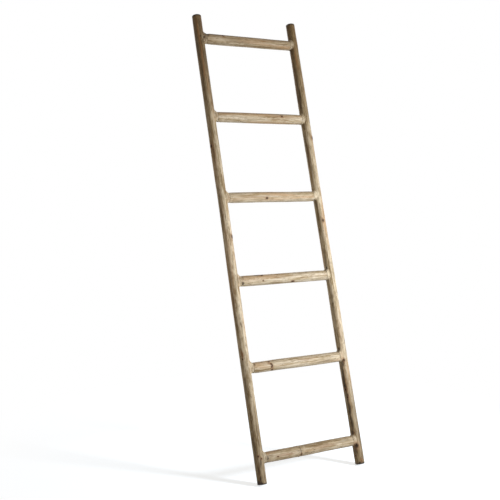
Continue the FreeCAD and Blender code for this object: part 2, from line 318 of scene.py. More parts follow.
def pole_surface(hand, along, around):
    """Distance of a pole's surface from its axis, before its ends are rounded, and its share of boss."""
    seed = SEEDS[hand]
    radius = np.interp(along, *GIRTH[hand])
    radius = radius + WANDER * drift(seed, along, 0.31) * np.cos(around)
    radius = radius + WANDER * drift(seed + 1, along, 0.27) * np.sin(around)
    for waves, depth in WAVES:
        turn = 1.3 * drift(seed + waves, along, 0.24)
        swell = depth * drift(seed + 20 + waves, along, 0.11)
        radius = radius + swell * np.cos(waves * around + turn + waves)
    if hand == "right":
        radius = radius + SWELLING_HEIGHT * soft_patch(along, around, *SWELLING)
    radius = radius + knot_distance(KNOTS[hand], along, around, POLE_RADIUS)[1]
    from_rung = angle_apart(around, 0) if hand == "left" else -angle_apart(around, math.pi)
    boss = np.zeros_like(along)
    hollow = np.full_like(along, 0.0001)
    for number, joint in enumerate(JOINTS):
        close = np.abs(along - joint) < BOSS_ZONE
        if not np.any(close):
            continue
        # no two bosses are carved to quite the same length
        above = (along[close] - joint) * (1 + 0.05 * math.sin(number * 2.3 + seed))
        carved = boss_surface(from_rung[close], above, BOSS_FLARE[hand][number])
        # knife cuts down the flanks, which fade out at the face
        fading = np.clip(np.abs(above) / 0.02 - 1, 0, 1)
        cuts = KNIFE_CUTS * np.cos(9 * from_rung[close] + 0.4 * number) * fading
        boss[close] = np.maximum(boss[close], carved + cuts)
        facing = np.clip((np.cos(from_rung[close]) - 0.16) / 0.50, 0.04, 1)
        hollow[close] = np.where(above > 0, HOLLOW_ABOVE, HOLLOW_BELOW) * facing
    share = np.clip((boss - radius + 0.003) / 0.004, 0, 1)
    return soft_max(radius, boss, hollow), share


def heights_up_the_pole():
    """Where the rings of points lie: close together at the ends and the bosses, wider in between."""
    places = list(EDGE_RINGS)
    while places[-1] < POLE_LENGTH - 0.006:
        near = min(abs(places[-1] - joint - BOSS_MIDDLE) for joint in JOINTS)
        places.append(places[-1] + (FINE_STEP if near < BOSS_HALF_LENGTH else WIDE_STEP))
    places = [place for place in places if place < POLE_LENGTH - 0.0055]
    return np.array(places + [POLE_LENGTH - inset for inset in reversed(EDGE_RINGS)])


def closed_tube(name, rings):
    """A mesh from rings of points, with each end closed by a fan to its own middle."""
    count, points = rings.shape[:2]
    middles = [rings[0].mean(axis=0).tolist(), rings[-1].mean(axis=0).tolist()]
    faces = []
    for ring in range(count - 1):
        for point in range(points):
            after = (point + 1) % points
            base = ring * points
            faces.append((base + point, base + after, base + points + after, base + points + point))
    last = (count - 1) * points
    for point in range(points):
        after = (point + 1) % points
        faces.append((after, point, count * points))
        faces.append((last + point, last + after, count * points + 1))
    mesh = bpy.data.meshes.new(name)
    mesh.from_pydata(rings.reshape(-1, 3).tolist() + middles, [], faces)
    mesh.update()
    piece = bpy.data.objects.new(name, mesh)
    bpy.context.scene.collection.objects.link(piece)
    return piece


def leaned(across, up):
    """The place of a piece that far from the ladder's middle and that far up the leaning poles."""
    foot = Matrix.Translation(FOOT_PLACE + Vector((across, 0, 0)))
    return foot @ Matrix.Rotation(-LEAN, 4, "X") @ Matrix.Translation((0, 0, up))


def drill_holes(piece, radius, holes):
    """Drills round holes clear of each other, each with a start and an end in the piece's own axes."""
    cutter = bmesh.new()
    for start, end in holes:
        direction = Vector(end) - Vector(start)
        turn = direction.to_track_quat("Z", "Y").to_matrix().to_4x4()
        place = Matrix.Translation((Vector(start) + Vector(end)) / 2) @ turn
        bmesh.ops.create_cone(cutter, cap_ends=True, segments=48, radius1=radius, radius2=radius,
                              depth=direction.length, matrix=place)
    drill_mesh = bpy.data.meshes.new("drill")
    cutter.to_mesh(drill_mesh)
    cutter.free()
    drill = bpy.data.objects.new("drill", drill_mesh)
    bpy.context.scene.collection.objects.link(drill)
    drill.matrix_world = piece.matrix_world
    cut = piece.modifiers.new("holes", "BOOLEAN")
    cut.operation = "DIFFERENCE"
    cut.solver = "EXACT"
    cut.object = drill
    bpy.context.view_layer.update()
    drilled = bpy.data.meshes.new_from_object(piece.evaluated_get(bpy.context.evaluated_depsgraph_get()))
    piece.modifiers.clear()
    piece.data = drilled
    bpy.data.objects.remove(drill)


def finish_piece(piece, material, node):
    """Smooth faces with crisp edges, its material, and its place in the ladder."""
    piece.data.transform(piece.matrix_world)
    piece.matrix_world = Matrix.Identity(4)
    piece.data.name = piece.name
    piece.data.materials.clear()
    piece.data.materials.append(material)
    piece.data.shade_smooth()
    piece.data.set_sharp_from_angle(angle=math.radians(40))
    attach(piece, "root")
    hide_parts(node)


def points_of(piece):
    """Every point of a piece in its own axes."""
    places = np.empty(len(piece.data.vertices) * 3, dtype=np.float32)
    piece.data.vertices.foreach_get("co", places)
    return places.reshape(-1, 3).astype(float)


def linear(code):
    """A colour written as sRGB hex, as the renderer's linear red, green, blue and alpha."""
    parts = [int(code[place:place + 2], 16) / 255 for place in (1, 3, 5)]
    return [part / 12.92 if part <= 0.04045 else ((part + 0.055) / 1.055) ** 2.4 for part in parts] + [1.0]


def add(material, kind, settings, links=()):
    """Adds a node to a material, with its settings, which are properties or sockets, and its links."""
    node = material.node_tree.nodes.new(kind)
    for name, value in settings.items():
        if isinstance(name, int) or name in node.inputs:
            node.inputs[name].default_value = value
        elif name == "stops":
            ramp = node.color_ramp
            while len(ramp.elements) < len(value):
                ramp.elements.new(0.5)
            for element, (place, colour) in zip(ramp.elements, value):
                element.position = place
                element.color = linear(colour)
        else:
            setattr(node, name, value)
    for name, source in dict(links).items():
        material.node_tree.links.new(source, node.inputs[name])
    return node


def new_material(name):
    """A material with an empty node tree."""
    material = bpy.data.materials.new(name)
    material.use_nodes = True
    material.node_tree.nodes.clear()
    return material


def per_metre(width, length):
    """Scale of a noise whose patches have that width and length in metres, the length along the grain."""
    return (1 / width, 1 / width, 1 / length)


# what every wood here shares, whatever its own colour
BARK_FLECK = "#54402a"
WARM_STAIN = "#8c623c"
# dark of old stains, also painted shade in the right pole's corners by the rungs
DARK_STAIN_AND_SHADE = "#2e1f12"
# dirt in sawn fibres, also painted shade round the tops' rims
SAWN_DIRT_AND_SHADE = "#1f160e"
KNOT_HALO = "#957050"
KNOT_HEART = "#26160b"
INSIDE_A_CHECK = "#1e150d"
RING_SPACING = 0.0022


def peeled_wood(name, dark, middle, pale, warm, brown_and_shade, finer):
    """Hardwood stem, peeled, dried and sanded by hand, waxed thinly. It gives the eye long streaks along
    the grain, flame shapes where the surface cuts the year rings, dark knots and thin drying checks.
    The last colour is the one that handling, dust and painted shade multiply the wood by."""
    wood = new_material(name)
    place = add(wood, "ShaderNodeAttribute", {"attribute_name": "grain"}).outputs["Vector"]
    written = {}
    for what in ("browning", "carved", "knot", "gap", "gap_width", "sawn", "end_grain", "stain",
                 "warm_stain"):
        written[what] = add(wood, "ShaderNodeAttribute", {"attribute_name": what}).outputs["Fac"]

    # Patterns drawn out along the grain: width and length in metres, where its noise starts, its settings.
    # Flames are where the surface wanders in and out of a year ring. Pores are drawn 1 mm wide so that they
    # show. Flecks are inner bark and rubbed-in dirt, a few to a hand's breadth.
    noise = {}
    for pattern, width, length, start, settings in (
            ("slow", 0.036, 0.18, (0, 0, 0), {"Detail": 2.0}),
            ("flame", 0.006, 0.024, (1.7, 6.1, 2.9), {"Detail": 3.0, "Roughness": 0.6, "Distortion": 0.6}),
            ("patch", 0.024, 0.26, (3.7, 1.9, 8.3), {"Detail": 2.0}),
            ("pore", 0.001, 0.017, (0, 0, 0), {"Detail": 2.0, "Roughness": 0.6}),
            ("fleck", 0.0038, 0.024, (5.1, 7.7, 1.3), {"Detail": 3.0, "Roughness": 0.65})):
        scaled = add(wood, "ShaderNodeVectorMath",
                     {"operation": "MULTIPLY_ADD", 1: per_metre(width, length), 2: start}, {0: place})
        noise[pattern] = add(wood, "ShaderNodeTexNoise", {"Scale": 1.0, **settings},
                             {"Vector": scaled.outputs[0]})

    # streaks 7 mm wide and dark threads 2.3 mm wide, or finer or coarser, both bent by the slow pattern
    for pattern, width, length, bend, settings in (
            ("streak", 0.007, 0.16, (1.6, 1.6, 0.4), {"Detail": 3.0, "Roughness": 0.55}),
            ("thread", 0.0023, 0.11, (1.0, 1.0, 1.0), {"Detail": 2.0, "Roughness": 0.5})):
        scaled = add(wood, "ShaderNodeVectorMath",
                     {"operation": "MULTIPLY", 1: per_metre(width / finer, length)}, {0: place})
        bent = add(wood, "ShaderNodeVectorMath", {"operation": "MULTIPLY_ADD", 1: bend},
                   {0: noise["slow"].outputs["Color"], 2: scaled.outputs[0]})
        noise[pattern] = add(wood, "ShaderNodeTexNoise", {"Scale": 1.0, **settings},
                             {"Vector": bent.outputs[0]})
    streak = noise["streak"].outputs["Fac"]
    tone = add(wood, "ShaderNodeValToRGB",
               {"stops": ((0.35, dark), (0.46, middle), (0.57, pale), (0.70, middle))}, {"Fac": streak})

    # how much of each layer's colour shows: from none at one value of its pattern to the most at another
    share = {}
    for layer, pattern, none_at, most_at, most in (
            ("thread", "thread", 0.53, 0.66, 0.74), ("dark_flame", "flame", 0.47, 0.30, 0.66),
            ("pale_flame", "flame", 0.53, 0.68, 0.62), ("patch", "patch", 0.50, 0.68, 0.6),
            ("pore", "pore", 0.52, 0.72, 0.38), ("fleck", "fleck", 0.625, 0.69, 0.9)):
        share[layer] = add(wood, "ShaderNodeMapRange",
                           {"From Min": none_at, "From Max": most_at, "To Max": most},
                           {"Value": noise[pattern].outputs["Fac"]}).outputs[0]

    # year rings: distance from the pith, warped so that they surface as flames, clearest at a sawn end
    flat_place = add(wood, "ShaderNodeVectorMath", {"operation": "MULTIPLY", 1: (1, 1, 0)}, {0: place})
    from_pith = add(wood, "ShaderNodeVectorMath", {"operation": "LENGTH"}, {0: flat_place.outputs[0]})
    ring_warp = add(wood, "ShaderNodeMath", {"operation": "MULTIPLY_ADD", 1: 0.0105},
                    {0: noise["slow"].outputs["Fac"], 2: from_pith.outputs["Value"]})
    ring_count = add(wood, "ShaderNodeMath", {"operation": "MULTIPLY", 1: 2 * math.pi / RING_SPACING},
                     {0: ring_warp.outputs[0]})
    ring_wave = add(wood, "ShaderNodeMath", {"operation": "SINE"}, {0: ring_count.outputs[0]})
    ring_line = add(wood, "ShaderNodeMapRange", {"From Min": 0.35, "From Max": 1.0},
                    {"Value": ring_wave.outputs[0]})
    ring_depth = add(wood, "ShaderNodeMath", {"operation": "MULTIPLY_ADD", 1: 0.45, 2: 0.36},
                     {0: written["end_grain"]})
    share["ring"] = add(wood, "ShaderNodeMath", {"operation": "MULTIPLY"},
                        {0: ring_line.outputs[0], 1: ring_depth.outputs[0]}).outputs[0]

    # browner where it is handled and dusty, and darker where shade is painted in, in streaks rather than
    # evenly
    brown_and_shade_edge = add(wood, "ShaderNodeMath", {"operation": "MULTIPLY_ADD", 1: 0.55, 2: -0.26}, {0: streak})
    share["brown_and_shade"] = add(wood, "ShaderNodeMath", {"operation": "MULTIPLY_ADD", "use_clamp": True, 1: 0.95},
                         {0: written["browning"], 2: brown_and_shade_edge.outputs[0]}).outputs[0]

    # carved places are paler, in flames, because the knife cuts across the rings; the same layer makes the
    # left pole paler in front and carries a painted highlight on rung 4
    carved_edge = add(wood, "ShaderNodeMath",
                      {"operation": "MULTIPLY_ADD", "use_clamp": True, 1: 1.5, 2: -0.50},
                      {0: noise["flame"].outputs["Fac"]})
    share["carved"] = add(wood, "ShaderNodeMath", {"operation": "MULTIPLY"},
                          {0: written["carved"], 1: carved_edge.outputs[0]}).outputs[0]

    # old stains and painted shade are broken up along the grain
    stain_edge = add(wood, "ShaderNodeMath", {"operation": "MULTIPLY_ADD", 1: 1.1, 2: 0.35}, {0: streak})
    for layer in ("stain", "warm_stain"):
        share[layer] = add(wood, "ShaderNodeMath", {"operation": "MULTIPLY", "use_clamp": True},
                           {0: written[layer], 1: stain_edge.outputs[0]}).outputs[0]

    # sawn ends: raw fibres hold dirt and go dark, and round the top's rim painted shade darkens them
    # further
    share["sawn"] = add(wood, "ShaderNodeMath", {"operation": "MULTIPLY", 1: 0.88},
                        {0: written["sawn"]}).outputs[0]

    # knots: a reddish halo, dark rings and a near-black heart
    share["halo"] = add(wood, "ShaderNodeMapRange", {"From Min": 2.6, "From Max": 0.9, "To Max": 0.6,
                                                     "interpolation_type": "SMOOTHSTEP"},
                        {"Value": written["knot"]}).outputs[0]
    knot_rings = add(wood, "ShaderNodeMath", {"operation": "MULTIPLY", 1: 11.0}, {0: written["knot"]})
    knot_wave = add(wood, "ShaderNodeMath", {"operation": "SINE"}, {0: knot_rings.outputs[0]})
    knot_edge = add(wood, "ShaderNodeMath", {"operation": "MULTIPLY_ADD", 1: 0.10},
                    {0: knot_wave.outputs[0], 2: written["knot"]})
    share["heart"] = add(wood, "ShaderNodeMapRange", {"From Min": 1.12, "From Max": 0.62, "To Max": 0.93},
                         {"Value": knot_edge.outputs[0]}).outputs[0]

    # drying checks: a thin open gap that is near black inside, in millimetres from its edge
    gap_away = add(wood, "ShaderNodeMath", {"operation": "ABSOLUTE"}, {0: written["gap"]})
    gap_inside = add(wood, "ShaderNodeMath", {"operation": "SUBTRACT"},
                     {0: written["gap_width"], 1: gap_away.outputs[0]})
    share["gap"] = add(wood, "ShaderNodeMapRange", {"From Min": -0.03, "From Max": 0.16},
                       {"Value": gap_inside.outputs[0]}).outputs[0]

    # the colours, in the order in which each lies over the ones before
    colour = tone.outputs["Color"]
    for layer, tint, blend in (
            ("thread", dark, "MIX"), ("dark_flame", dark, "MIX"), ("pale_flame", pale, "MIX"),
            ("ring", dark, "MIX"), ("patch", warm, "MIX"), ("brown_and_shade", brown_and_shade, "MULTIPLY"),
            ("carved", pale, "MIX"), ("pore", dark, "MIX"), ("fleck", BARK_FLECK, "MIX"),
            ("warm_stain", WARM_STAIN, "MIX"), ("stain", DARK_STAIN_AND_SHADE, "MIX"), ("sawn", SAWN_DIRT_AND_SHADE, "MIX"),
            ("halo", KNOT_HALO, "MIX"), ("heart", KNOT_HEART, "MIX"), ("gap", INSIDE_A_CHECK, "MIX")):
        colour = add(wood, "ShaderNodeMix", {"data_type": "RGBA", "blend_type": blend, 7: linear(tint)},
                     {0: share[layer], 6: colour}).outputs[2]

    # thin wax gives a low satin sheen, duller on knots; streaks stand up, pores and checks are hollows
    satin = add(wood, "ShaderNodeMapRange",
                {"From Min": 0.3, "From Max": 0.7, "To Min": 0.50, "To Max": 0.64}, {"Value": streak})
    roughness = add(wood, "ShaderNodeMath", {"operation": "MULTIPLY_ADD", "use_clamp": True, 1: 0.25},
                    {0: share["heart"], 2: satin.outputs[0]})
    height = add(wood, "ShaderNodeMath", {"operation": "MULTIPLY_ADD", 1: -0.5},
                 {0: noise["pore"].outputs["Fac"], 2: streak})
    grooved = add(wood, "ShaderNodeMath", {"operation": "MULTIPLY_ADD", 1: -2.5},
                  {0: share["gap"], 2: height.outputs[0]})
    bump = add(wood, "ShaderNodeBump", {"Strength": 0.55, "Distance": 0.0005},
               {"Height": grooved.outputs[0]})
    surface = add(wood, "ShaderNodeBsdfPrincipled", {"IOR": 1.5, "Specular IOR Level": 0.28},
                  {"Base Color": colour, "Roughness": roughness.outputs[0], "Normal": bump.outputs[0]})
    add(wood, "ShaderNodeOutputMaterial", {}, {"Surface": surface.outputs[0]})
    return wood


pole_wood = peeled_wood("peeled hardwood, waxed",
                        "#7d6847", "#c4b390", "#ebe0c8", "#c39a70", "#907f60", 1.0)

for hand, side in (("left", -1), ("right", 1)):
    around = np.arange(POINTS_ROUND) * 2 * math.pi / POINTS_ROUND
    height_grid, angle_grid = np.meshgrid(heights_up_the_pole(), around, indexing="ij")
    radius = pole_surface(hand, height_grid.ravel(), angle_grid.ravel())[0].reshape(height_grid.shape)
    for edge, inset in ((SAWN_EDGE["foot"], height_grid), (SAWN_EDGE["top"], POLE_LENGTH - height_grid)):
        near = np.clip(inset, 0, edge)
        radius = radius - edge + np.sqrt(edge ** 2 - (edge - near) ** 2)
    if hand == "left":
        chip = np.exp(-(angle_apart(angle_grid, CHIP_ANGLE) / CHIP_HALF_WIDTH) ** 2)
        radius = radius - CHIP_DEPTH * (chip * np.clip(1 - height_grid / CHIP_HEIGHT, 0, 1))
    # the foot is worn flat where its wall side edge stands on the floor
    dip = np.maximum(np.sin(angle_grid), 0.05) * math.sin(LEAN)
    to_floor = (FOOT_RISE + height_grid * math.cos(LEAN)) / dip
    radius = np.where(height_grid < 0.02, np.minimum(radius, to_floor), radius)
    rings = np.stack((radius * np.cos(angle_grid), radius * np.sin(angle_grid), height_grid), axis=2)
    foot_cap = [rings[0] * (share, share, 1) for share in CAP_SHARES]
    top_cap = [rings[-1] * (share, share, 1) for share in reversed(CAP_SHARES)]
    pole = closed_tube(hand + "_pole_stem", np.concatenate((foot_cap, rings, top_cap)))
    pole.matrix_world = leaned(side * POLE_FROM_MIDDLE, 0)
    drill_holes(pole, SOCKET_RADIUS,
                [((-side * SOCKET_MOUTH, 0, joint), (side * SOCKET_END, 0, joint)) for joint in JOINTS])
    drill_holes(pole, PIN_HOLE_RADIUS,
                [((0, PIN_HOLE_END, joint), (0, PIN_HOLE_MOUTH, joint)) for joint in JOINTS])
    points = points_of(pole)
    up, angle = points[:, 2], np.arctan2(points[:, 1], points[:, 0])
    from_axis = np.hypot(points[:, 0], points[:, 1])
    write_on(pole, "grain", points + np.array(FIGURE[hand]))
    # darker towards the top partly as painted shade, where the light falls off
    write_on(pole, "browning", np.interp(up, *BROWNING_AND_SHADE) + BROWNER[hand])
    pale_front = POLE_PALE_FRONT_SHARE * soft_patch(up, angle, *POLE_PALE_FRONT) * (hand == "left")
    write_on(pole, "carved", np.maximum(pole_surface(hand, up, angle)[1], pale_front))
    write_on(pole, "knot", knot_distance(KNOTS[hand], up, angle, POLE_RADIUS)[0])
    write_checks(pole, CHECKS[hand], up, angle, POLE_RADIUS)
    # stains, and on the right pole painted shade in the corners by the rungs
    write_stains_and_shade(pole, STAINS_AND_SHADE[hand], up, angle, POLE_RADIUS)
    foot_dirt = np.clip(1.5 - up / FOOT_DIRT, 0, 1)
    # painted shade on the top's worn rim, as well as its dirt
    top_dirt_and_shade = np.clip(2.0 - (POLE_LENGTH - up) / TOP_DIRT_AND_SHADE, 0, 1)
    rim = np.clip((from_axis - CLEANER_MIDDLE) / 0.004, 0.28, 1)
    write_on(pole, "sawn", np.maximum(foot_dirt, top_dirt_and_shade) * rim)
    write_on(pole, "end_grain", 1.0 * (np.minimum(up, POLE_LENGTH - up) < END_FACE))
    finish_piece(pole, pole_wood, hand + "_pole")


# ---------------------------------------------------------------------------------------------------------
# The six rungs. Each is a straight round bar of paler hardwood, sanded smooth, with a round tenon turned
# on both ends. The shoulders butt on the bosses' faces, and a hole for the pin crosses each tenon.
# ---------------------------------------------------------------------------------------------------------

RUNG_RADIUS = 0.02
SHOULDER = 0.1899
TENON_END = 0.222
TENON_RADIUS = 0.011
TENON_BEVEL = 0.0015
CROSS_HOLE_MOUTH = 0.016

# the last stretch before a shoulder is worked down to meet the boss's face, and its corner is softened
WORKED_LENGTH = 0.020
WORKED_RADIUS = 0.0193
RUNG_CORNER = 0.0010
CORNER_STRIP = 0.0024
RUNG_STEP = 0.002

# radius at places from left to right along each rung, and its wandering and waves, as for the poles
RUNG_GIRTH = [
    ([-0.19, 0.0, 0.19], [0.0208, 0.0201, 0.0197]), ([-0.19, 0.05, 0.19], [0.0199, 0.0203, 0.0199]),
    ([-0.19, -0.06, 0.19], [0.0202, 0.0199, 0.0201]), ([-0.19, 0.0, 0.19], [0.0201, 0.0199, 0.0196]),
    ([-0.19, 0.0, 0.19], [0.0201, 0.0202, 0.0199]), ([-0.19, -0.05, 0.19], [0.0197, 0.0201, 0.0199]),
]
RUNG_WANDER = 0.0006
RUNG_WAVES = ((2, 0.00025), (3, 0.00018), (5, 0.00010), (9, 0.00006))

# a notch cut in rung 5, and a branch ring round rung 6 with its own notch:
# place, half length, angle from the front upwards, half width in radians, how far it stands up
RUNG_DENTS = {
    5: [(-0.1141, 0.0035, -62, 0.45, -0.0013)],
    6: [(-0.051, 0.004, 0, math.inf, 0.0009), (-0.0465, 0.002, 0, math.inf, -0.0006),
        (-0.0464, 0.003, -50, 0.45, -0.0014)],
}

# knots, checks and stains as for the poles, by place along the rung and angle from the front upwards
RUNG_KNOTS = [
    [(-0.120, 30, 0.0060, 0.0045, 0.0008), (0.062, 140, 0.0070, 0.0050, 0.0010)],
    [(0.093, 12, 0.0050, 0.0040, 0.0006), (-0.051, 200, 0.0070, 0.0050, 0.0010)],
    [(-0.030, -25, 0.0055, 0.0042, 0.0007), (0.141, 110, 0.0060, 0.0045, 0.0009)],
    [(-0.1003, -17, 0.0030, 0.0026, 0.0004), (-0.1007, 48, 0.0060, 0.0040, 0.0008),
     (0.0322, -52, 0.0055, 0.0040, 0.0007), (0.085, 170, 0.0070, 0.0050, 0.0010)],
    [(-0.1195, 14, 0.0032, 0.0030, 0.0004), (-0.1160, 0, 0.0034, 0.0042, 0.0005),
     (-0.1180, -16, 0.0030, 0.0036, 0.0004), (-0.1248, 46, 0.0032, 0.0026, 0.0004),
     (-0.1141, -56, 0.0045, 0.0040, 0.0005), (0.070, 120, 0.0060, 0.0045, 0.0009)],
    [(-0.1459, -9, 0.0032, 0.0026, 0.0004), (-0.0464, -33, 0.0040, 0.0034, 0.0006),
     (0.105, 160, 0.0060, 0.0045, 0.0009)],
]
RUNG_CHECKS = [
    [(-0.15, -0.05, -70, -64, 0.0004)],
    [(0.02, 0.12, 100, 108, 0.0004)],
    [(-0.17, -0.06, 150, 142, 0.0005)],
    [(0.05, 0.16, -44, -38, 0.0004), (-0.12, 0.02, 170, 176, 0.0005)],
    [(-0.11, -0.01, -62, -66, 0.0004)],
    [(-0.044, 0.05, 62, 56, 0.0004), (0.06, 0.17, 140, 146, 0.0005)],
]
RUNG_STAINS = [
    [(-0.185, 35, 0.0045, 0.011, 1.0), (-0.140, 40, 0.040, 0.0040, 0.5), (0.070, 10, 0.060, 0.0040, -0.4)],
    [(0.100, 5, 0.050, 0.0050, -0.4), (-0.120, 160, 0.050, 0.0040, 0.4)],
    [(-0.100, -10, 0.060, 0.0040, -0.4), (0.060, 150, 0.060, 0.0040, 0.4)],
    [(-0.186, -38, 0.006, 0.007, 1.0), (-0.184, 30, 0.003, 0.010, 0.5), (-0.115, 62, 0.018, 0.0045, 1.0),
     (0.032, -54, 0.009, 0.0048, 1.0), (-0.020, 10, 0.060, 0.0040, -0.4)],
    [(-0.1165, -4, 0.0022, 0.0085, 1.0), (-0.1141, -52, 0.0036, 0.0042, 1.0),
     (-0.1248, 46, 0.0038, 0.0032, 1.0), (-0.125, 20, 0.010, 0.0060, -0.5),
     (-0.116, -30, 0.008, 0.0080, -0.4), (-0.186, 30, 0.003, 0.008, 0.7),
     (0.040, 18, 0.050, 0.0035, -0.5), (0.120, -30, 0.040, 0.0035, 0.4)],
    [(-0.0475, 10, 0.0017, 0.026, 1.0), (-0.0464, -30, 0.0034, 0.0060, 0.9),
     (-0.187, -5, 0.004, 0.008, 0.8), (-0.110, -5, 0.040, 0.0050, -0.5), (0.060, 5, 0.050, 0.0060, -0.4),
     (0.150, 20, 0.030, 0.0040, 0.3)],
]

# how brown each rung has gone, on the top rung partly painted shade where the light falls off, and the
# painted shade along each rung's top and at its left end, away from the lamp
RUNG_BROWNING_AND_SHADE = [0.55, 0.24, 0.08, 0.02, 0.06, 0.34]
TOP_PAINTED_SHADE = [0.67, 0.42, 0.42, 0.42, 0.42, 0.42]
LEFT_END_PAINTED_SHADE = 0.10

# how wide the dirt is where a rung meets a boss, and where a painted highlight lies on rung 4's front
SHOULDER_DIRT = 0.0009
RUNG_PAINTED_HIGHLIGHT = (0.140, 0.050, math.radians(9), 0.28)
RUNG_HIGHLIGHT_SHARE = 2.4

rung_wood = peeled_wood("peeled hardwood, sanded smooth",
                        "#8f7854", "#cfbf9f", "#ebe1cc", "#cca67c", "#9c8c74", 0.85)

for index, joint in enumerate(JOINTS):
    number = index + 1
    seed = 100 + 13 * index
    strip = np.linspace(-SHOULDER, -SHOULDER + CORNER_STRIP, 7)
    body = np.arange(-SHOULDER + 0.005, SHOULDER - 0.004, RUNG_STEP)
    places = np.concatenate((strip, body, np.linspace(SHOULDER - CORNER_STRIP, SHOULDER, 7)))
    around = np.arange(POINTS_ROUND) * 2 * math.pi / POINTS_ROUND
    place_grid, angle_grid = np.meshgrid(places, around, indexing="ij")
    along, angle = place_grid.ravel(), angle_grid.ravel()
    radius = np.interp(along, *RUNG_GIRTH[index])
    radius = radius + RUNG_WANDER * drift(seed, along, 0.13) * np.cos(angle)
    radius = radius + RUNG_WANDER * drift(seed + 1, along, 0.15) * np.sin(angle)
    for waves, depth in RUNG_WAVES:
        turn = 1.7 * waves + drift(seed + 30 + waves, along, 0.2)
        radius = radius + depth * drift(seed + waves, along, 0.07) * np.cos(waves * angle + turn)
    radius = radius + knot_distance(RUNG_KNOTS[index], along, angle, RUNG_RADIUS)[1]
    for place, half_length, middle, half_width, height in RUNG_DENTS.get(number, []):
        dent = soft_patch(along, angle, place, half_length, math.radians(middle), half_width)
        radius = radius + height * dent
    from_shoulder = SHOULDER - np.abs(along)
    eased = np.clip(from_shoulder / WORKED_LENGTH, 0, 1)
    radius = WORKED_RADIUS + (radius - WORKED_RADIUS) * (eased * eased * (3 - 2 * eased))
    corner = np.clip(from_shoulder, 0, RUNG_CORNER)
    radius = radius - RUNG_CORNER + np.sqrt(RUNG_CORNER ** 2 - (RUNG_CORNER - corner) ** 2)
    radius = radius.reshape(place_grid.shape)
    # x along the rung, so the ring angle starts at the front and turns upwards
    rings = np.stack((place_grid, -radius * np.cos(angle_grid), radius * np.sin(angle_grid)), axis=2)
    unit = np.stack((np.zeros(POINTS_ROUND), -np.cos(around), np.sin(around)), axis=1)
    tenon = [(TENON_RADIUS, SHOULDER), (TENON_RADIUS, SHOULDER + 0.002),
             (TENON_RADIUS, TENON_END - TENON_BEVEL), (TENON_RADIUS - TENON_BEVEL, TENON_END),
             (0.004, TENON_END)]
    right_end = [unit * size + np.array((reach, 0, 0)) for size, reach in tenon]
    left_end = [unit * size + np.array((-reach, 0, 0)) for size, reach in reversed(tenon)]
    rung = closed_tube("rung_" + str(number) + "_bar", np.concatenate((left_end, rings, right_end))[::-1])
    rung.matrix_world = leaned(0, joint)
    drill_holes(rung, PIN_HOLE_RADIUS, [((end * POLE_FROM_MIDDLE, PIN_HOLE_END, 0),
                                         (end * POLE_FROM_MIDDLE, CROSS_HOLE_MOUTH, 0)) for end in (-1, 1)])
    points = points_of(rung)
    along, angle = points[:, 0], np.arctan2(points[:, 2], -points[:, 1])
    write_on(rung, "grain", points[:, [1, 2, 0]] + np.array((0.004, 0.003, 11.0 + index)))
    # painted shade along the top of each rung and towards its left end
    shade_on_top = np.exp(-(angle_apart(angle, math.radians(66)) / 0.55) ** 2)
    shade_at_left_end = np.clip((-along - 0.10) / 0.09, 0, 1)
    write_on(rung, "browning",
             RUNG_BROWNING_AND_SHADE[index] + LEFT_END_PAINTED_SHADE * shade_at_left_end + TOP_PAINTED_SHADE[index] * shade_on_top)
    # a painted highlight on the front of rung 4
    write_on(rung, "carved", RUNG_HIGHLIGHT_SHARE * soft_patch(along, angle, *RUNG_PAINTED_HIGHLIGHT) * (number == 4))
    write_on(rung, "knot", knot_distance(RUNG_KNOTS[index], along, angle, RUNG_RADIUS)[0])
    write_checks(rung, RUNG_CHECKS[index], along, angle, RUNG_RADIUS)
    write_stains_and_shade(rung, RUNG_STAINS[index], along, angle, RUNG_RADIUS)
    write_on(rung, "sawn", np.clip((np.abs(along) - (SHOULDER - SHOULDER_DIRT)) / SHOULDER_DIRT, 0, 1))
    write_on(rung, "end_grain", 1.0 * (np.abs(along) > SHOULDER - 0.0001))
    finish_piece(rung, rung_wood, "rung_" + str(number))


# ---------------------------------------------------------------------------------------------------------
# The twelve pins. Each is a round hardwood dowel, 6 mm by 25 mm, driven from the wall side through the
# pole's wall into the rung's tenon, glued, cut off and sanded flush with the pole.
# ---------------------------------------------------------------------------------------------------------

PIN_RADIUS = 0.003
PIN_INNER_END = -0.0072
PIN_BEVEL = 0.0006
PIN_STEP = 0.0027
PIN_POINTS = 32

# the cut end stands a hair proud of the pole, and its rim is rubbed down
PROUD = 0.00012
RUBBED_RIM = 0.0003
CUT_END_FROM = 0.016

pin_wood = peeled_wood("beech dowel, cut flush",
                       "#9a7650", "#b8946a", "#c9a87e", "#a87f58", "#9c9190", 1.5)

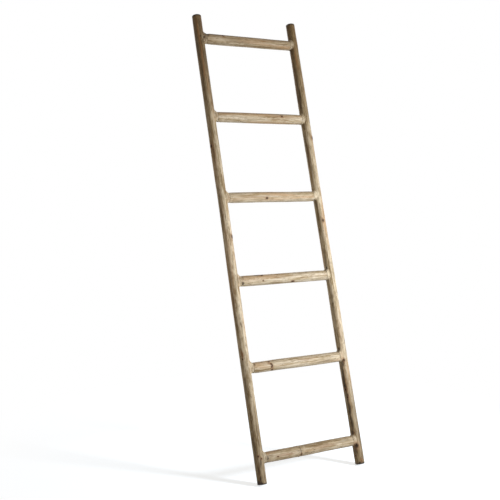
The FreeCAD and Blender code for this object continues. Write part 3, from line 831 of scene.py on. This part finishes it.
for hand, side in (("left", -1), ("right", 1)):
    for index, joint in enumerate(JOINTS):
        around = np.arange(PIN_POINTS) * 2 * math.pi / PIN_POINTS
        unit = np.stack((np.cos(around), np.zeros(PIN_POINTS), -np.sin(around)), axis=1)
        rings = [unit * size + (0, PIN_INNER_END, 0) for size in (0.001, PIN_RADIUS - PIN_BEVEL)]
        for step in range(9):
            rings.append(unit * PIN_RADIUS + (0, PIN_INNER_END + PIN_BEVEL + step * PIN_STEP, 0))
        # the outer end follows the pole's round surface
        for share in (1.0, 0.92, 0.75, 0.5, 0.25, 0.08):
            ring = unit * PIN_RADIUS * share
            face_angle = np.arctan2(np.full(PIN_POINTS, POLE_RADIUS), ring[:, 0])
            face = pole_surface(hand, joint + ring[:, 2], face_angle)[0]
            ring[:, 1] = np.sqrt(face ** 2 - ring[:, 0] ** 2) + PROUD - RUBBED_RIM * (share == 1.0)
            rings.append(ring)
        name = "pin_" + hand + "_" + str(index + 1)
        pin = closed_tube(name + "_dowel", np.array(rings))
        pin.matrix_world = leaned(side * POLE_FROM_MIDDLE, joint)
        points = points_of(pin)
        write_on(pin, "grain", points[:, [0, 2, 1]] + np.array((0.001, 0.002, 30.0 + index + 7 * side)))
        for what, value in (("browning", 0.25), ("carved", 0), ("knot", NO_KNOT), ("gap", NO_CHECK),
                            ("gap_width", 0), ("stain", 0), ("warm_stain", 0)):
            write_on(pin, what, np.full(len(points), value))
        # dirt in the line round the cut end
        cut_end = points[:, 1] > CUT_END_FROM
        from_axis = np.hypot(points[:, 0], points[:, 2])
        write_on(pin, "sawn", np.clip((from_axis - 0.0026) / 0.0005, 0, 0.8) * cut_end)
        write_on(pin, "end_grain", 1.0 * cut_end)
        finish_piece(pin, pin_wood, name)


# ---------------------------------------------------------------------------------------------------------
# The studio: a plain pale floor, one soft lamp level with the rungs on the right, a larger one behind,
# and a warm fill from all round. The camera stands in front of the ladder, a little to its left.
# ---------------------------------------------------------------------------------------------------------

FLOOR_HALF = 30
FLOOR_LIFT = 0.60


def directly_seen(material):
    """1 for the rays that show the background: the camera's, and those of gloss and glass. 0 for others."""
    path = add(material, "ShaderNodeLightPath", {})
    seen = add(material, "ShaderNodeMath", {"operation": "MAXIMUM"},
               {0: path.outputs["Is Camera Ray"], 1: path.outputs["Is Glossy Ray"]})
    return add(material, "ShaderNodeMath", {"operation": "MAXIMUM"},
               {0: seen.outputs[0], 1: path.outputs["Is Transmission Ray"]}).outputs[0]


def soft_lamp(name, width, height, watts, colour, place, aim):
    """A flat lamp of that width and height, turned towards a point."""
    data = bpy.data.lights.new(name, "AREA")
    data.shape = "RECTANGLE"
    data.size = width
    data.size_y = height
    data.energy = watts
    data.color = colour
    lamp = bpy.data.objects.new(name, data)
    bpy.context.scene.collection.objects.link(lamp)
    lamp.location = place
    lamp.rotation_euler = (Vector(aim) - lamp.location).to_track_quat("-Z", "Y").to_euler()


corners = [(FLOOR_HALF * across, FLOOR_HALF * back, 0)
           for across, back in ((-1, -1), (1, -1), (1, 1), (-1, 1))]
floor_mesh = bpy.data.meshes.new("floor")
floor_mesh.from_pydata(corners, [], [(0, 1, 2, 3)])
floor = bpy.data.objects.new("floor", floor_mesh)
bpy.context.scene.collection.objects.link(floor)

# Painted floor: matt, and white where the lamps reach it, so that only the ladder's shadow shows. A step
# away from the ladder it is plain white. It throws light back on the wood as a mid grey floor does.
floor_paint = new_material("floor paint, matt white")
floor_place = add(floor_paint, "ShaderNodeTexCoord", {}).outputs["Object"]
from_ladder = add(floor_paint, "ShaderNodeVectorMath", {"operation": "LENGTH"}, {0: floor_place})
far = add(floor_paint, "ShaderNodeMapRange",
          {"From Min": 0.55, "From Max": 1.35, "interpolation_type": "SMOOTHSTEP"},
          {"Value": from_ladder.outputs["Value"]})
seen = directly_seen(floor_paint)
matt = add(floor_paint, "ShaderNodeBsdfDiffuse", {"Color": linear("#e2f0ff")})
dull = add(floor_paint, "ShaderNodeBsdfDiffuse", {"Color": linear("#9c9ea3")})
white = add(floor_paint, "ShaderNodeEmission", {"Color": linear("#ffffff"), "Strength": 1.0})
lift_strength = add(floor_paint, "ShaderNodeMath", {"operation": "MULTIPLY", 1: FLOOR_LIFT}, {0: seen})
lift = add(floor_paint, "ShaderNodeEmission", {"Color": linear("#ffffff")},
           {"Strength": lift_strength.outputs[0]})
near_paint = add(floor_paint, "ShaderNodeAddShader", {}, {0: matt.outputs[0], 1: lift.outputs[0]})
seen_paint = add(floor_paint, "ShaderNodeMixShader", {},
                 {0: seen, 1: dull.outputs[0], 2: near_paint.outputs[0]})
white_share = add(floor_paint, "ShaderNodeMath", {"operation": "MULTIPLY"}, {0: far.outputs[0], 1: seen})
floor_mix = add(floor_paint, "ShaderNodeMixShader", {},
                {0: white_share.outputs[0], 1: seen_paint.outputs[0], 2: white.outputs[0]})
add(floor_paint, "ShaderNodeOutputMaterial", {}, {"Surface": floor_mix.outputs[0]})
floor_mesh.materials.append(floor_paint)

soft_lamp("key_lamp", 0.45, 0.65, 77, (0.98, 0.985, 0.99), (1.60, -2.05, 1.15), (0, 0, 0.70))
soft_lamp("back_lamp", 2.0, 2.0, 32, (1.0, 0.97, 0.93), (0.55, 2.3, 0.85), (0, 0.1, 0.60))

# the room's fill: a warm white, weaker from above than from the sides and below, and stronger on the left
world = bpy.data.worlds.new("room")
world.use_nodes = True
bpy.context.scene.world = world
world.node_tree.nodes.clear()
direction = add(world, "ShaderNodeTexCoord", {}).outputs["Generated"]
axes = add(world, "ShaderNodeSeparateXYZ", {}, {0: direction})
fill_by_height = add(world, "ShaderNodeMapRange",
                     {"From Min": 0.0, "From Max": 0.7, "To Min": 0.54, "To Max": 0.14},
                     {"Value": axes.outputs["Z"]})
fill_by_side = add(world, "ShaderNodeMapRange",
                   {"From Min": -1.0, "From Max": 1.0, "To Min": 1.55, "To Max": 0.65},
                   {"Value": axes.outputs["X"]})
fill_strength = add(world, "ShaderNodeMath", {"operation": "MULTIPLY"},
                    {0: fill_by_height.outputs[0], 1: fill_by_side.outputs[0]})
fill = add(world, "ShaderNodeBackground", {"Color": linear("#f3dfc6")},
           {"Strength": fill_strength.outputs[0]})
backdrop = add(world, "ShaderNodeBackground", {"Color": linear("#ffffff"), "Strength": 1.0})
room = add(world, "ShaderNodeMixShader", {},
           {0: directly_seen(world), 1: fill.outputs[0], 2: backdrop.outputs[0]})
add(world, "ShaderNodeOutputWorld", {}, {"Surface": room.outputs[0]})

# the camera: 3.2 m from the ladder's middle and 1.1 m above the floor
camera_data = bpy.data.cameras.new("camera")
camera_data.sensor_width = 36
camera_data.lens = 59.05
camera = bpy.data.objects.new("camera", camera_data)
bpy.context.scene.collection.objects.link(camera)
camera.location = (-1.6197, -2.7260, 1.1178)
camera.rotation_euler = (math.radians(84.513), 0, math.radians(-28.817))
bpy.context.scene.camera = camera

bpy.context.scene.view_settings.view_transform = "Standard"
